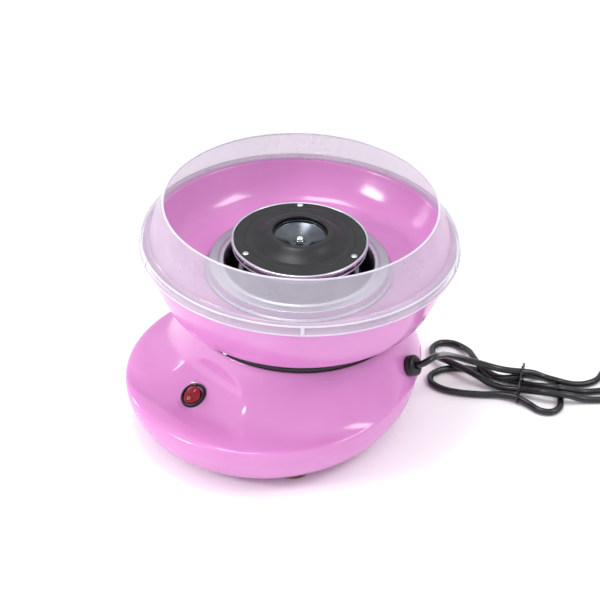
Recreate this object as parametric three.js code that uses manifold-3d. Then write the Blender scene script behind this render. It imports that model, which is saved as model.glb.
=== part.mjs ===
// A table-top cotton candy machine, in millimetres, +Z up.
// The origin is on the table, under the middle of the machine's own outline. The front, with the
// switch, faces -Y, and the mains lead leaves at the back.
import * as THREE from 'three';
import Module from 'manifold-3d';
import { mergeVertices } from 'three/addons/utils/BufferGeometryUtils.js';

const wasm = await Module();
wasm.setup();

// ---- driving dimensions ----
const GAP = 0.3;                 // clearance between touching pieces
const SPIN_Y = 10;               // the spindle stands this far behind the middle of the outline
const WALL = 2.6;                // moulded wall of the base

const FOOT_HEIGHT = 4;           // the base's underside above the table
const FOOT_RADIUS = 17;
const NECK_Z = 97;               // top edge of the base shell
const NECK_RADIUS = 93;
const BACK = { foot: 64, belly: 106.5, bellyZ: 48 };     // radii of the base at its back
const FRONT = { foot: 124, belly: 157, bellyZ: 42.5 };   // and of the lobe that carries the switch
const LOBE_POWER = 2.1;          // how narrow the lobe is

const BOWL_EDGE_Z = 114;         // lower edge of the bowl's skirt
const BOWL_EDGE_RADIUS = 108.8;
const BOWL_RIM_Z = 172;
const BOWL_RIM_RADIUS = 133;
const BOWL_FLOOR_Z = 139;
const BOWL_HOLE_RADIUS = 81;

const GUARD_FLANGE_Z = 174;      // the clear guard: flange on the bowl, skirt outside, wall inside
const GUARD_RADIUS = 137;
const GUARD_SKIRT_Z = 165.8;
const GUARD_TOP_Z = 207;
const GUARD_TOP_RADIUS = 116.6;
const GUARD_WALL = 1.8;

const PAN_LIP_Z = 149;           // fixed aluminium pan round the heater
const PAN_LIP_RADIUS = 66;
const PAN_RING_RADIUS = 80;
const PAN_FLOOR_Z = 122;

const HEAD_Z = 170.3;            // flat top of the spinning head
const HEAD_RADIUS = 58.7;
const DOME_RADIUS = 40;
const FUNNEL_RADIUS = 23;
const FUNNEL_Z = 178.2;
const RIVET_CIRCLE = 52.5;
const RIVET_ANGLES = [21, 141, 261];

const SPINDLE_RADIUS = 3;
const CORD_DIAMETER = 6;
const SWITCH = { y: -111.5, z: 52.5, tilt: 30 };         // measured from the spindle, tilt in degrees
// Half axes of the egg that cuts the dish; its long axis dips to the right and turns a little back.
const DISH = { along: 400, across: 32, deep: 30, shift: -1, dip: 2.5, turn: 5.5 };
const GLAND = { angle: 27, tilt: 28, radius: 105.8, z: 70 };   // where the mains lead comes out

// ---- finishes ----
const FINISH = {
  pink: { color: 0xda7dcd, roughness: 0.2, metalness: 0 },
  black: { color: 0x2a2a2e, roughness: 0.45, metalness: 0 },
  rubber: { color: 0x6e4a4c, roughness: 0.8, metalness: 0 },
  clear: { color: 0xe6e0ea, roughness: 0.15, metalness: 0, transparent: true, opacity: 0.4 },
  aluminium: { color: 0xc3c4c8, roughness: 0.3, metalness: 1 },
  steel: { color: 0x9a9ca0, roughness: 0.35, metalness: 1 },
  chrome: { color: 0xdcdde0, roughness: 0.08, metalness: 1 },
  brass: { color: 0xb98d4a, roughness: 0.3, metalness: 1 },
  ceramic: { color: 0xe4dfd2, roughness: 0.7, metalness: 0 },
  red: { color: 0xa0182c, roughness: 0.25, metalness: 0 },
  wireBlue: { color: 0x2c4f9e, roughness: 0.5, metalness: 0 },
  wireBrown: { color: 0x6b3f22, roughness: 0.5, metalness: 0 },
};

// ---- helpers ----
const V2 = (x, y) => new THREE.Vector2(x, y);
const V3 = (x, y, z) => new THREE.Vector3(x, y, z);
const radians = THREE.MathUtils.degToRad;
const machine = new THREE.Group();       // everything that is measured from the spindle
machine.position.y = SPIN_Y;
const table = new THREE.Group();         // the lead, which lies on the table
const product = new THREE.Group();
product.add(machine, table);

function place(name, geometry, finish, group = machine) {
  const mesh = new THREE.Mesh(geometry, new THREE.MeshStandardMaterial(FINISH[finish]));
  mesh.name = name;
  group.add(mesh);
  return mesh;
}

// A profile of [radius, height] points, turned about Z. It runs anticlockwise, seen with the
// radius to the right, and closes on itself unless it starts and ends on the axis.
function turned(profile, segments = 48) {
  const first = profile[0];
  const last = profile[profile.length - 1];
  const points = profile.map(([r, z]) => V2(r, z));
  if (first[0] > 0 || last[0] > 0) points.push(V2(...first));
  return new THREE.LatheGeometry(points, segments).rotateX(Math.PI / 2);
}

function rod(radius, z0, z1, segments = 24) {
  return new THREE.CylinderGeometry(radius, radius, z1 - z0, segments)
    .rotateX(Math.PI / 2).translate(0, 0, (z0 + z1) / 2);
}

function tube(inner, outer, z0, z1, segments = 48) {
  return turned([[inner, z0], [outer, z0], [outer, z1], [inner, z1]], segments);
}

function block(sx, sy, sz, x, y, z) {
  return new THREE.BoxGeometry(sx, sy, sz).translate(x, y, z);
}

function solidOf(geometry) {
  const plain = geometry.clone();
  plain.deleteAttribute('normal');
  plain.deleteAttribute('uv');
  const merged = mergeVertices(plain, 1e-4);
  return new wasm.Manifold(new wasm.Mesh({
    numProp: 3,
    vertProperties: Float32Array.from(merged.attributes.position.array),
    triVerts: Uint32Array.from(merged.index.array),
  }));
}

function geometryOf(solid) {
  const mesh = solid.getMesh();
  const geometry = new THREE.BufferGeometry();
  geometry.setAttribute('position', new THREE.BufferAttribute(mesh.vertProperties, 3));
  geometry.setIndex(new THREE.BufferAttribute(mesh.triVerts, 1));
  return geometry;
}

function cut(geometry, ...tools) {
  return geometryOf(tools.reduce((solid, tool) => solid.subtract(solidOf(tool)), solidOf(geometry)));
}

function join(...geometries) {
  return geometryOf(geometries.map(solidOf).reduce((a, b) => a.add(b)));
}

// A round lead of the given diameter along a smooth line through the points.
function lead(points, diameter, steps, sides = 8) {
  const curve = new THREE.CatmullRomCurve3(points.map((p) => V3(...p)), false, 'centripetal');
  const circle = new THREE.Shape();
  for (let i = 0; i < sides; i += 1) {
    const a = (2 * Math.PI * i) / sides;
    circle[i ? 'lineTo' : 'moveTo']((diameter / 2) * Math.cos(a), (diameter / 2) * Math.sin(a));
  }
  circle.closePath();
  return new THREE.ExtrudeGeometry(circle, { steps, extrudePath: curve });
}

function circlePoint(radius, degrees) {
  return [radius * Math.cos(radians(degrees)), radius * Math.sin(radians(degrees))];
}

// ---- the base's form: a loft between the profile of its back and the profile of its lobe ----
function bezier(p0, p1, p2, p3, count, skipFirst) {
  const curve = new THREE.CubicBezierCurve(V2(...p0), V2(...p1), V2(...p2), V2(...p3));
  return curve.getPoints(count).slice(skipFirst ? 1 : 0);
}

function sideProfile({ foot, belly, bellyZ }, turn, rise, neckControl, inset, lowSteps, highSteps) {
  const low = FOOT_HEIGHT;
  const below = bezier([foot, low], [foot + (belly - foot) * turn, low],
    [belly, bellyZ - (bellyZ - low) * turn], [belly, bellyZ], lowSteps, false);
  const above = bezier([belly, bellyZ], [belly, bellyZ + rise], neckControl,
    [NECK_RADIUS, NECK_Z], highSteps, true);
  const outline = [...below, ...above];
  return outline.map((point, i) => {
    const before = outline[Math.max(i - 1, 0)];
    const after = outline[Math.min(i + 1, outline.length - 1)];
    const along = after.clone().sub(before).normalize();
    return V2(point.x - along.y * inset, point.y + along.x * inset);
  });
}

function baseLoft(inset, around, lowSteps, highSteps) {
  const back = sideProfile(BACK, 0.6, 5, [120, 46], inset, lowSteps, highSteps);
  const front = sideProfile(FRONT, 0.5, 18, [108, 27], inset, lowSteps, highSteps);
  const rows = back.length;
  const position = [];
  for (let i = 0; i < rows; i += 1) {
    for (let k = 0; k < around; k += 1) {
      const angle = (2 * Math.PI * k) / around;
      const lobe = ((1 - Math.sin(angle)) / 2) ** LOBE_POWER;
      const point = back[i].clone().lerp(front[i], lobe);
      position.push(point.x * Math.cos(angle), point.x * Math.sin(angle), point.y);
    }
  }
  const index = [];
  for (let i = 0; i + 1 < rows; i += 1) {
    for (let k = 0; k < around; k += 1) {
      const next = (k + 1) % around;
      const [a, b] = [i * around + k, i * around + next];
      index.push(a, b, b + around, a, b + around, a + around);
    }
  }
  const centre = position.length / 3;
  position.push(0, 0, position[2], 0, 0, position[(rows - 1) * around * 3 + 2]);
  for (let k = 0; k < around; k += 1) {
    const next = (k + 1) % around;
    index.push(centre, next, k);
    index.push(centre + 1, (rows - 1) * around + k, (rows - 1) * around + next);
  }
  const geometry = new THREE.BufferGeometry();
  geometry.setAttribute('position', new THREE.Float32BufferAttribute(position, 3));
  geometry.setIndex(index);
  return geometry;
}

function outlineAtFoot(inset, around) {
  return Array.from({ length: around }, (_, k) => {
    const angle = (2 * Math.PI * k) / around;
    const lobe = ((1 - Math.sin(angle)) / 2) ** LOBE_POWER;
    const radius = THREE.MathUtils.lerp(BACK.foot, FRONT.foot, lobe) - inset;
    return V2(radius * Math.cos(angle), radius * Math.sin(angle));
  });
}

// The dish round the switch is a scoop cut by a long egg that touches the switch's seat.
function switchFrame(geometry) {
  return geometry.rotateX(radians(SWITCH.tilt)).translate(0, SWITCH.y, SWITCH.z);
}

function dishCutter(grow) {
  return switchFrame(new THREE.SphereGeometry(1, 36, 24).rotateZ(Math.PI / 2)
    .scale(DISH.along + grow, DISH.across + grow, DISH.deep + grow).translate(0, DISH.shift, DISH.deep)
    .rotateY(radians(DISH.dip)).rotateZ(radians(DISH.turn)));
}

// Things built along +Z are turned to stand square on the gland's seat, pointing outwards.
function glandFrame(geometry) {
  return geometry.rotateY(radians(90 - GLAND.tilt)).translate(GLAND.radius, 0, GLAND.z)
    .rotateZ(radians(GLAND.angle));
}

function glandPoint(out) {
  const [x, y] = circlePoint(GLAND.radius + out * Math.cos(radians(GLAND.tilt)), GLAND.angle);
  return [x, y + SPIN_Y, GLAND.z + out * Math.sin(radians(GLAND.tilt))];
}

const SCREWS = [[270, 114], [5, 65], [175, 65], [90, 53]];   // direction and radius of each screw post

function screwPosts() {
  return SCREWS.flatMap(([angle, radius]) => [
    rod(4.2, 6.9, 16, 14).translate(radius, 0, 0).rotateZ(radians(angle)),
    block(15, 3, 7, radius + 8.5, 0, 10.4).rotateZ(radians(angle)),
  ]);
}

function base() {
  const outer = baseLoft(0, 52, 5, 9);
  const cavity = cut(baseLoft(WALL, 36, 4, 7), dishCutter(WALL));
  const openings = [
    rod(NECK_RADIUS - 1.6, NECK_Z - 8, NECK_Z + 6, 52),
    new THREE.ExtrudeGeometry(new THREE.Shape(outlineAtFoot(WALL, 36)), { depth: 6.8,
      bevelEnabled: false }),
    switchFrame(rod(12.4, 1.2, 12, 24)),
    switchFrame(rod(10.2, -12, 6, 24)),
    glandFrame(rod(9.8, 0, 12, 24)),
    glandFrame(rod(6, -16, 12, 18)),
    glandFrame(rod(9.4, -12, -2.9, 18)),
  ];
  const screwHoles = SCREWS.map(([angle, radius]) => rod(2.1, 5, 14.5, 10)
    .translate(radius, 0, 0).rotateZ(radians(angle)));
  const shell = cut(outer, dishCutter(0), cavity, ...openings);
  place('base_shell', cut(join(shell, ...screwPosts()), ...screwHoles), 'pink');
}

// ---- underside ----
const FEET = { front_right: [-40, 98], front_left: [220, 98], rear_right: [42, 46], rear_left: [138,
  46] };

function underside() {
  const shape = new THREE.Shape(outlineAtFoot(WALL + GAP, 36));
  for (let row = -3; row <= 3; row += 1) {
    const slot = new THREE.Path();
    const y = row * 7 - 8;
    slot.moveTo(-24, y - 1.5).lineTo(-24, y + 1.5).lineTo(24, y + 1.5).lineTo(24, y - 1.5).closePath();
    shape.holes.push(slot);
  }
  for (const [angle, radius] of SCREWS) {
    const [x, y] = circlePoint(radius, angle);
    shape.holes.push(new THREE.Path().absarc(x, y, 2.2, 0, 2 * Math.PI, true));
  }
  const plate = new THREE.ExtrudeGeometry(shape, { depth: 2.5, bevelEnabled: false, curveSegments: 8 });
  place('bottom_plate', plate.translate(0, 0, FOOT_HEIGHT), 'pink');
  for (const [name, [angle, radius]] of Object.entries(FEET)) {
    const [x, y] = circlePoint(radius, angle);
    const top = FOOT_HEIGHT - GAP;
    const foot = turned([[0, 0], [FOOT_RADIUS - 2, 0], [FOOT_RADIUS, top - 1], [FOOT_RADIUS, top],
      [0, top]], 20);
    place(`foot_${name}`, foot.translate(x, y, 0), 'rubber');
  }
  SCREWS.forEach(([angle, radius], i) => {
    const [x, y] = circlePoint(radius, angle);
    const z = FOOT_HEIGHT - GAP;
    const screw = turned([[0, z - 1.8], [2.6, z - 1.4], [3.4, z], [1.8, z], [1.8, z + 9],
      [0, z + 10]], 10);
    place(`plate_screw_${i + 1}`, screw.translate(x, y, 0), 'steel');
  });
}

// ---- neck, heater pan and heater ----
function neck() {
  const outer = NECK_RADIUS - 2;
  place('neck_collar', turned([[84, NECK_Z - 6], [outer, NECK_Z - 6], [outer, 130], [88, 137.6],
    [PAN_RING_RADIUS - 4, 137.6], [PAN_RING_RADIUS - 4, 135], [86, 134], [88.4, 128],
    [88.4, NECK_Z - 1], [84, NECK_Z - 3]], 40), 'black');
}

function heaterPan() {
  const t = 1.2;
  const [lip, ring] = [PAN_LIP_RADIUS, PAN_RING_RADIUS];
  const profile = [
    [8, PAN_FLOOR_Z], [50, PAN_FLOOR_Z], [58, PAN_FLOOR_Z + 3], [lip - 2.2, PAN_LIP_Z - 6],
    [lip + 2, PAN_LIP_Z - 2.4], [76, PAN_LIP_Z - 2.8], [76.4, 139.6], [ring, 139], [ring, 139 + t],
    [77.6, 140.8], [77.4, PAN_LIP_Z - 1.4], [lip + 3, PAN_LIP_Z - 1], [lip + 1, PAN_LIP_Z],
    [lip - 1.6, PAN_LIP_Z], [lip - 3.4, PAN_LIP_Z - 5.4], [57, PAN_FLOOR_Z + 4.4],
    [49.6, PAN_FLOOR_Z + t], [8 + t, PAN_FLOOR_Z + t], [8 + t, 140], [8, 140],
  ];
  const bracketBolts = [30, 150, 270].map((angle) => {
    const [x, y] = circlePoint(40, angle);
    return rod(2.2, PAN_FLOOR_Z - 4, PAN_FLOOR_Z + 6, 8).translate(x, y, 0);
  });
  place('heater_pan', cut(turned(profile, 40), ...bracketBolts), 'aluminium');
}

function heater() {
  const element = new THREE.TorusGeometry(50, 3, 6, 32).translate(0, 0, 136.5);
  place('heating_element', element, 'steel');
  [30, 150, 270].forEach((angle, i) => {
    const post = turned([[0, PAN_FLOOR_Z - 3], [2, PAN_FLOOR_Z - 3], [2, PAN_FLOOR_Z + 1.5],
      [5, PAN_FLOOR_Z + 1.5],
      [5, 131.4], [0, 131.4]], 12);
    const strap = join(
      block(20, 7, 1.2, 46, 0, 132.4), block(1.2, 7, 11, 36.6, 0, 137.3), block(18, 7, 1.2, 45, 0,
        142.2));
    const turn = radians(angle);
    place(`ceramic_post_${i + 1}`, post.translate(40, 0, 0).rotateZ(turn), 'ceramic');
    place(`heater_strap_${i + 1}`, strap.rotateZ(turn), 'steel');
  });
  place('thermal_cutout', rod(7, 113.4, PAN_FLOOR_Z - GAP, 20).translate(0, 34, 0), 'ceramic');
}

// ---- motor, hung under a plate on rubber mounts ----
const PLATE_Z = 100;
const MOTOR_TOP = 91;
const MOTOR_BOTTOM = 41;

function motor() {
  const dampers = [60, 180, 300].map((angle) => circlePoint(38, angle));
  const holes = dampers.map(([x, y]) => rod(2.4, PLATE_Z - 5, PLATE_Z + 5, 8).translate(x, y, 0));
  place('motor_plate', cut(tube(16, 87.6, PLATE_Z, PLATE_Z + 2, 40), ...holes), 'steel');
  const flangeHoles = dampers.map(([x, y]) => rod(2.4, MOTOR_TOP - 6, MOTOR_TOP + 5, 8).translate(x,
    y, 0));
  const can = turned([[28, MOTOR_BOTTOM + 4], [31, MOTOR_BOTTOM + 4], [31, MOTOR_TOP - 2.5],
    [44, MOTOR_TOP - 2.5],
    [44, MOTOR_TOP - 0.5], [8.4, MOTOR_TOP - 0.5], [8.4, MOTOR_TOP - 3], [28, MOTOR_TOP - 3]], 28);
  place('motor_can', cut(can, ...flangeHoles), 'steel');
  place('motor_end_cap', turned([[8.4, MOTOR_BOTTOM], [31, MOTOR_BOTTOM], [31, MOTOR_BOTTOM + 3.7],
    [8.4, MOTOR_BOTTOM + 3.7]], 28), 'black');
  dampers.forEach(([x, y], i) => {
    const damper = turned([[0, MOTOR_TOP - 2], [2, MOTOR_TOP - 2], [2, MOTOR_TOP - 0.2],
      [6, MOTOR_TOP - 0.2],
      [6, PLATE_Z - GAP], [2, PLATE_Z - GAP], [2, PLATE_Z + 2.2], [0, PLATE_Z + 2.2]], 10);
    place(`motor_damper_${i + 1}`, damper.translate(x, y, 0), 'rubber');
  });
  place('bearing_top', tube(3.4, 8.1, MOTOR_TOP - 6, MOTOR_TOP - 1, 16), 'brass');
  place('bearing_bottom', tube(3.4, 8.1, MOTOR_BOTTOM, MOTOR_BOTTOM + 5, 16), 'brass');
  place('armature', turned([[3.3, 52], [9, 52], [9, 58], [24, 58], [24, 80], [9, 80], [9, 83],
    [3.3, 83]], 16), 'steel');
}

function spindle() {
  const seat = 159;
  place('spindle', turned([[0, 26], [SPINDLE_RADIUS, 26], [SPINDLE_RADIUS, seat], [2.2, seat],
    [2.2, 166], [0, 166]],
    20), 'steel');
  place('drive_pin', turned([[SPINDLE_RADIUS + GAP, 155.5], [7.2, 155.5], [7.2, 158.7],
    [SPINDLE_RADIUS + GAP, 158.7]],
    16), 'steel');
  const blades = Array.from({ length: 7 }, (_, i) => block(27, 1.6, 9, 20.5, 0, 0)
    .rotateX(radians(28)).translate(0, 0, 31).rotateZ((2 * Math.PI * i) / 7));
  const hub = tube(SPINDLE_RADIUS + GAP, 9, 27, 36, 20);
  place('cooling_fan', join(hub, ...blades), 'black');
}

// ---- the spinning head, which lifts off the spindle ----
function head() {
  const rivetHoles = () => RIVET_ANGLES.map((angle) => {
    const [x, y] = circlePoint(RIVET_CIRCLE, angle);
    return rod(2, 155, 176, 8).translate(x, y, 0);
  });
  place('head_cover', cut(turned([
    [DOME_RADIUS - 3, HEAD_Z - 1.6], [56, HEAD_Z - 1.6], [56, HEAD_Z],
    [DOME_RADIUS, HEAD_Z], [34, HEAD_Z + 2.8], [27.5, FUNNEL_Z], [FUNNEL_RADIUS, FUNNEL_Z],
    [FUNNEL_RADIUS, FUNNEL_Z - 3], [26, FUNNEL_Z - 2.4],
    [33, HEAD_Z + 1]], 36), ...rivetHoles()), 'black');
  place('head_upper_plate', cut(turned([
    [24, HEAD_Z - 3.1], [HEAD_RADIUS - 0.6, HEAD_Z - 3.1], [HEAD_RADIUS, HEAD_Z - 2.4],
    [HEAD_RADIUS, HEAD_Z - 0.4],
    [HEAD_RADIUS - 0.8, HEAD_Z + 0.3], [56.3, HEAD_Z - 0.2], [56.3, HEAD_Z - 1.9],
    [24, HEAD_Z - 1.9]], 40),
  ...rivetHoles()), 'aluminium');
  place('head_lower_plate', cut(turned([
    [7.6, 160], [40, 160], [57.4, 161.4], [57.4, 163.6], [56.6, 163.6], [56.4, 162.4], [40, 161.2],
    [7.6, 161.2]], 36),
  ...rivetHoles()), 'aluminium');
  place('mesh_band', tube(48.4, 49.2, 162.1, HEAD_Z - 3.4, 32), 'steel');
  RIVET_ANGLES.forEach((angle, i) => {
    const [x, y] = circlePoint(RIVET_CIRCLE, angle);
    const rivet = turned([[0, 158.4], [2.8, 158.8], [2.8, 160.3], [1.6, 160.6], [1.6, HEAD_Z + 0.3],
      [2.9, HEAD_Z + 0.3], [2.2, HEAD_Z + 1.2], [0, HEAD_Z + 1.5]], 12);
    place(`head_rivet_${i + 1}`, rivet.translate(x, y, 0), 'aluminium');
  });
  place('sugar_cup', turned([
    [4.6, 165.6], [9, 165.6], [22.6, 171.6], [22.6, 174.6], [21.8, 174.6], [21.8, 172.2], [8.6, 166.6],
    [4.6, 166.6]],
  32), 'chrome');
  place('head_hub', cut(turned([[3.3, 155.4], [8.6, 155.4], [8.6, 159.7], [7.2, 159.7], [7.2, 161.6],
    [8.6, 161.6],
    [8.6, 165.3], [2.5, 165.3], [2.5, 159.6], [3.3, 159.4]], 20), rod(7.6, 150, 159, 20)), 'brass');
  const nut = rod(4.2, 166.9, 169.2, 6);
  const cap = turned([[0, 168.6], [3.6, 168.6], [3.4, 170.6], [2, 172], [0, 172.4]], 16);
  place('cap_nut', cut(join(nut, cap), rod(2.5, 160, 166.95, 12)), 'chrome');
}

// ---- bowl and guard, which lift off ----
function bowl() {
  const [edge, rim] = [BOWL_EDGE_RADIUS, BOWL_RIM_RADIUS];
  const skirt = (t) => edge + (rim - edge) * t ** 0.62;
  const height = (t) => BOWL_EDGE_Z + (168 - BOWL_EDGE_Z) * t;
  const steps = [0, 0.12, 0.35, 0.65, 1];
  const outside = steps.map((t) => [skirt(t), height(t)]);
  const inside = [...steps].reverse().slice(1).map((t) => [skirt(t) - 2.4, height(t)]);
  const floor = BOWL_FLOOR_Z;
  const top = BOWL_RIM_Z;
  place('bowl', turned([
    ...outside, [rim, top], [127.4, top], [121, 159], [113, 147.6], [104, 141], [BOWL_HOLE_RADIUS, floor],
    [BOWL_HOLE_RADIUS, floor - 1.4], [104, 138.6], [115, 146], [123.4, 158.6],
    [128.6, 169.4], ...inside], 48), 'pink');
}

function guard() {
  const t = GUARD_WALL;
  const root = 129.4;
  const topIn = GUARD_TOP_RADIUS - t;
  const flange = GUARD_FLANGE_Z;
  place('splash_guard', turned([
    [root - t - 0.4, flange - 1.4], [GUARD_RADIUS - 2.8, flange - 1.6], [GUARD_RADIUS - t, GUARD_SKIRT_Z],
    [GUARD_RADIUS, GUARD_SKIRT_Z], [135.4, flange - 0.8], [134, flange], [root + 0.6, flange],
    [root - 0.8, flange + 1.4],
    [(root + GUARD_TOP_RADIUS) / 2 + 0.6, (flange + GUARD_TOP_Z) / 2],
    [GUARD_TOP_RADIUS, GUARD_TOP_Z - 0.6],
    [GUARD_TOP_RADIUS - 0.6, GUARD_TOP_Z], [topIn, GUARD_TOP_Z - 0.2],
    [(root + GUARD_TOP_RADIUS) / 2 + 0.6 - t, (flange + GUARD_TOP_Z) / 2 - 0.4],
    [root - t - 0.9, flange + 1]], 48), 'clear');
}

// ---- switch ----
function switchParts() {
  const body = turned([[0, -22], [8, -22], [9.9, -20], [9.9, 1.5], [11.8, 1.5], [11.6, 3], [10.4, 4],
    [9.2, 4], [9.2, -6], [0, -6]], 24);
  const blades = [-5, 5].map((x) => block(4.8, 0.8, 9, x, 0, -25.6));
  place('switch_body', switchFrame(join(body, ...blades)), 'black');
  const tilt = radians(8);
  const key = new THREE.Shape();
  key.moveTo(-8.3, -2.4).lineTo(8.3, -2.4).lineTo(8.3, 4.6).lineTo(0, 3.4).lineTo(-8.3, 4.6).closePath();
  const slab = new THREE.ExtrudeGeometry(key, { depth: 18, bevelEnabled: false })
    .rotateZ(Math.PI / 2).rotateY(Math.PI / 2).translate(-9, 0, 0);
  const round = geometryOf(solidOf(slab).intersect(solidOf(rod(8.2, -6, 8, 32))));
  place('rocker', switchFrame(round.rotateX(tilt)), 'red');
}

// ---- inside wiring ----
function wiring() {
  const inside = (out) => {
    const [x, y, z] = glandPoint(out);
    return [x, y - SPIN_Y, z];
  };
  place('terminal_block', block(26, 12, 10, 34, 62, 20), 'ceramic');
  place('switch_lead', lead([[-5, -95.8, 25.2], [-12, -86, 19], [-34, -62, 14], [-54, -20, 14],
    [-50, 26, 14],
    [-20, 54, 17], [10, 62, 20], [20.6, 62, 20]], 2.6, 16, 6), 'wireBrown');
  place('supply_lead', lead([inside(-22.6), inside(-27), [66, 38, 46], [62, 50, 32],
    [57.5, 59.5, 22.5], [52.5, 62, 20.2], [47.6, 62, 20]],
    4.4, 14, 6),
    'black');
  place('motor_lead', lead([[34, 55.6, 20], [34, 48, 22], [31, 38, 30], [24, 30, 37],
    [20, 24, 40.4]], 2.6, 10, 6),
    'wireBlue');
}

// ---- gland and mains lead ----
// The lead drops from the gland over its own tied loops, turns, comes back through the tie, makes
// the loops and goes on to a coil and the plug.
const ROUTE = [
  [107, 69.5, 79], [105.5, 77, 78.5], [100, 88.5, 71.5], [93, 101, 62.5], [86.5, 116, 51],
    [84, 131, 40.5],
  [85, 144, 32], [89.5, 156, 25.5], [96.5, 167, 20.5], [104, 176, 18.5], [110.5, 184.5, 17.5],
  [116, 194, 14.8], [123, 202, 10.8], [132, 208, 9.8], [139, 218.5, 5.6], [144.5, 231, 3], [147, 245, 3],
  [141.5, 260, 3], [138, 275, 3], [144, 291, 3], [159, 297, 3], [173, 289, 3], [176.5, 273, 3],
  [171.5, 255, 3], [162, 238, 3], [153, 223, 3], [147, 211, 6.6], [141, 201, 9.8], [131, 194, 9],
  [119, 188.5, 5.8], [109, 184.5, 4.2], [98, 179, 3.2], [85, 173, 3], [72, 167.5, 3], [61.5, 160, 3],
  [54.5, 150.5, 3], [50.5, 139, 3], [51.5, 127.5, 3], [60, 121, 3], [73, 123, 3], [86, 131.5, 3],
  [99, 144.5, 3], [111, 158, 3.8], [124, 166.5, 4.4], [136, 169.5, 3.4], [148, 171, 3], [156, 177.5, 3],
  [156.5, 187, 3], [148, 197.5, 3], [135, 207, 3], [123, 212, 3], [113, 208.5, 3], [108, 200, 4.6],
  [107, 191, 8.4], [106.5, 182, 10.9], [103.5, 174, 11], [97, 168.5, 10.2], [85, 167, 9.6],
    [72, 168, 9.6],
  [61, 171.5, 9.4], [50, 177, 7], [38, 180, 4], [26, 177.5, 3], [19, 168.5, 3], [20.5, 158, 3],
  [29, 150.5, 4.5], [41, 148, 8], [55, 150, 9.6], [69, 153, 9.6], [84, 156, 9], [94, 160, 5.6],
  [105, 167, 3.8], [116, 175, 4.8], [127, 180.5, 7.4], [137, 185.5, 9.8], [146, 193, 9.9],
    [153, 202, 8.6],
  [160, 212, 4.4], [169, 225, 3], [177.5, 239, 3], [184, 251.5, 3], [185.8, 257.5, 3],
];
const COIL = { x: 222, y: 275, radius: 33, bottom: 1.2, turns: 2.5 };
const TAIL = [[254, 286, 23.6], [258.5, 272, 23.2], [265.5, 256, 15.5], [273, 239, 8.6],
  [281.5, 222.5, 6.8]];
const PLUG = { x: 302, y: 187, z: 6.8, turn: 30 };

function gland() {
  const bore = CORD_DIAMETER / 2 + 1;    // loose, as the lead is made in straight steps
  place('cord_gland', glandFrame(turned([[bore, -12], [5.7, -12], [5.7, 0.3], [9.4, 0.3], [9.4, 7.4],
    [8.4, 8.4],
    [5.4, 8.8], [bore, 8.8]], 20)), 'black');
  place('gland_nut', glandFrame(cut(rod(8.8, -7.4, -3.2, 6), rod(6, -14, 0, 20))), 'black');
}

// A band round a bundle: it stands across it, its long side in the direction given.
function band(width, height, x, y, direction) {
  const frame = (dx, dz, PathType) => new PathType([V2(-dx, -dz), V2(dx, -dz), V2(dx, dz), V2(-dx, dz)]);
  const shape = frame(width / 2, height / 2, THREE.Shape);
  shape.holes.push(frame(width / 2 - 0.8, height / 2 - 0.8, THREE.Path));
  return new THREE.ExtrudeGeometry(shape, { depth: 3, bevelEnabled: false }).translate(0, 0, -1.5)
    .rotateX(Math.PI / 2).rotateZ(radians(direction)).translate(x, y, 0.1 + height / 2);
}

function mainsLead() {
  place('power_cord', lead([glandPoint(-22), glandPoint(-12), glandPoint(12.5), ...ROUTE],
    CORD_DIAMETER, 80), 'black',
    table);
  const height = 3 + 6.3 * COIL.turns;
  place('cord_coil', tube(COIL.radius - 3, COIL.radius + 3, COIL.bottom, COIL.bottom + height, 32)
    .translate(COIL.x, COIL.y, 0), 'black', table);
  place('cord_tail', lead(TAIL, CORD_DIAMETER, 8), 'black', table);
  place('cord_tie', band(44, 22.6, 115.4, 178.4, -53), 'black', table);
  place('coil_tie', band(8.4, 21.6, COIL.x, COIL.y - COIL.radius, 90), 'black', table);
}

function plug() {
  const shape = new THREE.Shape([V2(-16, 0), V2(16, 0), V2(17, 12), V2(13, 26), V2(5, 37), V2(-5, 37),
    V2(-13, 26), V2(-17, 12)]);
  const body = new THREE.ExtrudeGeometry(shape, { depth: 13, bevelEnabled: false }).translate(0, 0, -6.5);
  const lay = (geometry) => geometry.rotateZ(radians(PLUG.turn)).translate(PLUG.x, PLUG.y, PLUG.z);
  place('plug_body', lay(body), 'black', table);
  [-9.5, 9.5].forEach((x, i) => {
    const pin = new THREE.CylinderGeometry(2, 2, 19, 12).translate(x, -9.5 - GAP, 0);
    place(`plug_pin_${i + 1}`, lay(pin), 'brass', table);
  });
}

base();
underside();
neck();
heaterPan();
heater();
motor();
spindle();
head();
bowl();
guard();
switchParts();
wiring();
gland();
mainsLead();
plug();

export default product;
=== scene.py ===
# %% [markdown]
# # A table-top cotton candy machine
# A glossy pink base holds a motor. It turns a round metal head that melts sugar and throws it out as
# threads, which a lift-off bowl and a clear guard catch. The CAD frame gives every size and place;
# the cells below put finished shapes and materials round it.

# %% Load the frame
import math
import bpy
from mathutils import Vector, Matrix


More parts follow.
